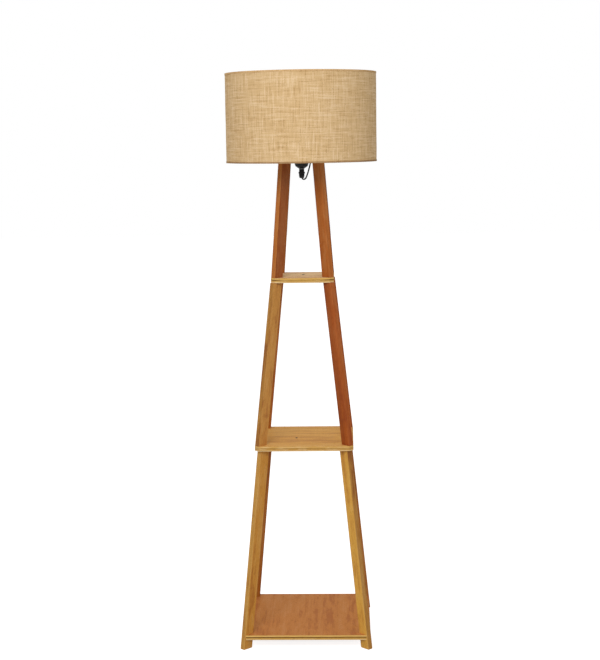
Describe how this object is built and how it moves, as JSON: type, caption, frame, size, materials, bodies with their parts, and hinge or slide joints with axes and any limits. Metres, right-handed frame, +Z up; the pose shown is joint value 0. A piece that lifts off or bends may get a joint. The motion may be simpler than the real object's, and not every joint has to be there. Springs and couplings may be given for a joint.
{
  "type": "shelf floor lamp",
  "caption": "Floor lamp with square plywood shelves of falling size on splayed corner boards, under a coarse-woven drum shade.",
  "frame": {"origin": "on the floor, on the lamp's upright axis", "axes": "+Z up, -Y towards the viewer in the picture, +X to the viewer's right"},
  "size_m": [0.3611, 0.3612, 1.3725],
  "materials": {
    "wood_amber": "satin varnish",
    "wood_red_brown": "satin varnish",
    "wood_golden": "satin varnish",
    "ply_reddish": "satin varnish, pale layered edges",
    "ply_tan": "satin varnish, pale layered edges",
    "ply_pale": "satin varnish, pale layered edges",
    "beech": "plain",
    "jute_cloth": "coarse slub weave",
    "white_liner": "matt",
    "white_wire": "satin",
    "black_plastic": "satin",
    "grey_washer": "matt",
    "ceramic_white": "glossy",
    "brass_contact": "bright",
    "zinc_steel": "bright zinc",
    "bulb_cap_metal": "bright",
    "bulb_opal": "opal",
    "cord_black": "satin",
    "pin_metal": "bright nickel"
  },
  "bodies": {
    "frame": {"base_shelf": "ply_reddish", "middle_shelf": "ply_tan", "upper_shelf": "ply_pale", "top_plate": "ply_pale", "base_dowels": "beech", "middle_shelf_screws": "zinc_steel", "upper_shelf_screws": "zinc_steel", "top_plate_screws": "zinc_steel", "lower_leg_front_left": "wood_golden", "lower_leg_front_right": "wood_golden", "lower_leg_back_left": "wood_golden", "lower_leg_back_right": "wood_golden", "middle_leg_front_left": "wood_golden", "middle_leg_front_right": "wood_red_brown", "middle_leg_back_left": "wood_golden", "middle_leg_back_right": "wood_red_brown", "upper_leg_front_left": "wood_amber", "upper_leg_front_right": "wood_red_brown", "upper_leg_back_left": "wood_amber", "upper_leg_back_right": "wood_red_brown", "holder_cap": "black_plastic", "cap_rivets": "zinc_steel", "grip_washer": "grey_washer", "cord_grip_body": "black_plastic", "cord_grip_nut": "black_plastic", "holder_body": "black_plastic", "flange_screws": "zinc_steel", "insulator": "ceramic_white", "screw_shell": "brass_contact", "centre_contact": "brass_contact", "terminal_screws": "brass_contact", "upper_lead": "cord_black", "floor_lead": "cord_black", "plug_lead": "cord_black", "lead_coil": "cord_black", "coil_tie": "black_plastic", "cable_clips": "black_plastic", "clip_nails": "zinc_steel", "switch_base": "black_plastic", "switch_cover": "black_plastic", "switch_screws": "zinc_steel", "switch_reliefs": "cord_black", "plug_body": "black_plastic", "plug_pins": "pin_metal"},
    "shade": {"shade_fabric": "jute_cloth", "shade_liner": "white_liner", "shade_wire_bottom": "white_wire", "shade_wire_top": "white_wire", "shade_hem_bottom": "jute_cloth", "shade_hem_top": "jute_cloth", "shade_spider": "white_wire", "shade_seam": "jute_cloth"},
    "shade_clamp": {"shade_ring": "black_plastic"},
    "bulb": {"bulb_tip": "brass_contact", "bulb_button": "ceramic_white", "bulb_cap": "bulb_cap_metal", "bulb_neck": "ceramic_white", "bulb_globe": "bulb_opal"},
    "rocker": {"switch_rocker": "black_plastic"}
  },
  "joints": [
    {"name": "shade_turn", "type": "hinge", "parent": "frame", "child": "shade", "pos_m": [0, 0, 1.2043], "axis": [0, 0, 1], "continuous": true},
    {"name": "shade_ring_turn", "type": "hinge", "parent": "frame", "child": "shade_clamp", "pos_m": [0, 0, 1.2096], "axis": [0, 0, 1], "continuous": true},
    {"name": "bulb_turn", "type": "hinge", "parent": "frame", "child": "bulb", "pos_m": [0, 0, 1.22], "axis": [0, 0, 1], "continuous": true},
    {"name": "switch_rocker_tilt", "type": "hinge", "parent": "frame", "child": "rocker", "pos_m": [0.02, 0.112, 0.01185], "axis": [0, 1, 0], "range_deg": [-14, 0]}
  ]
}
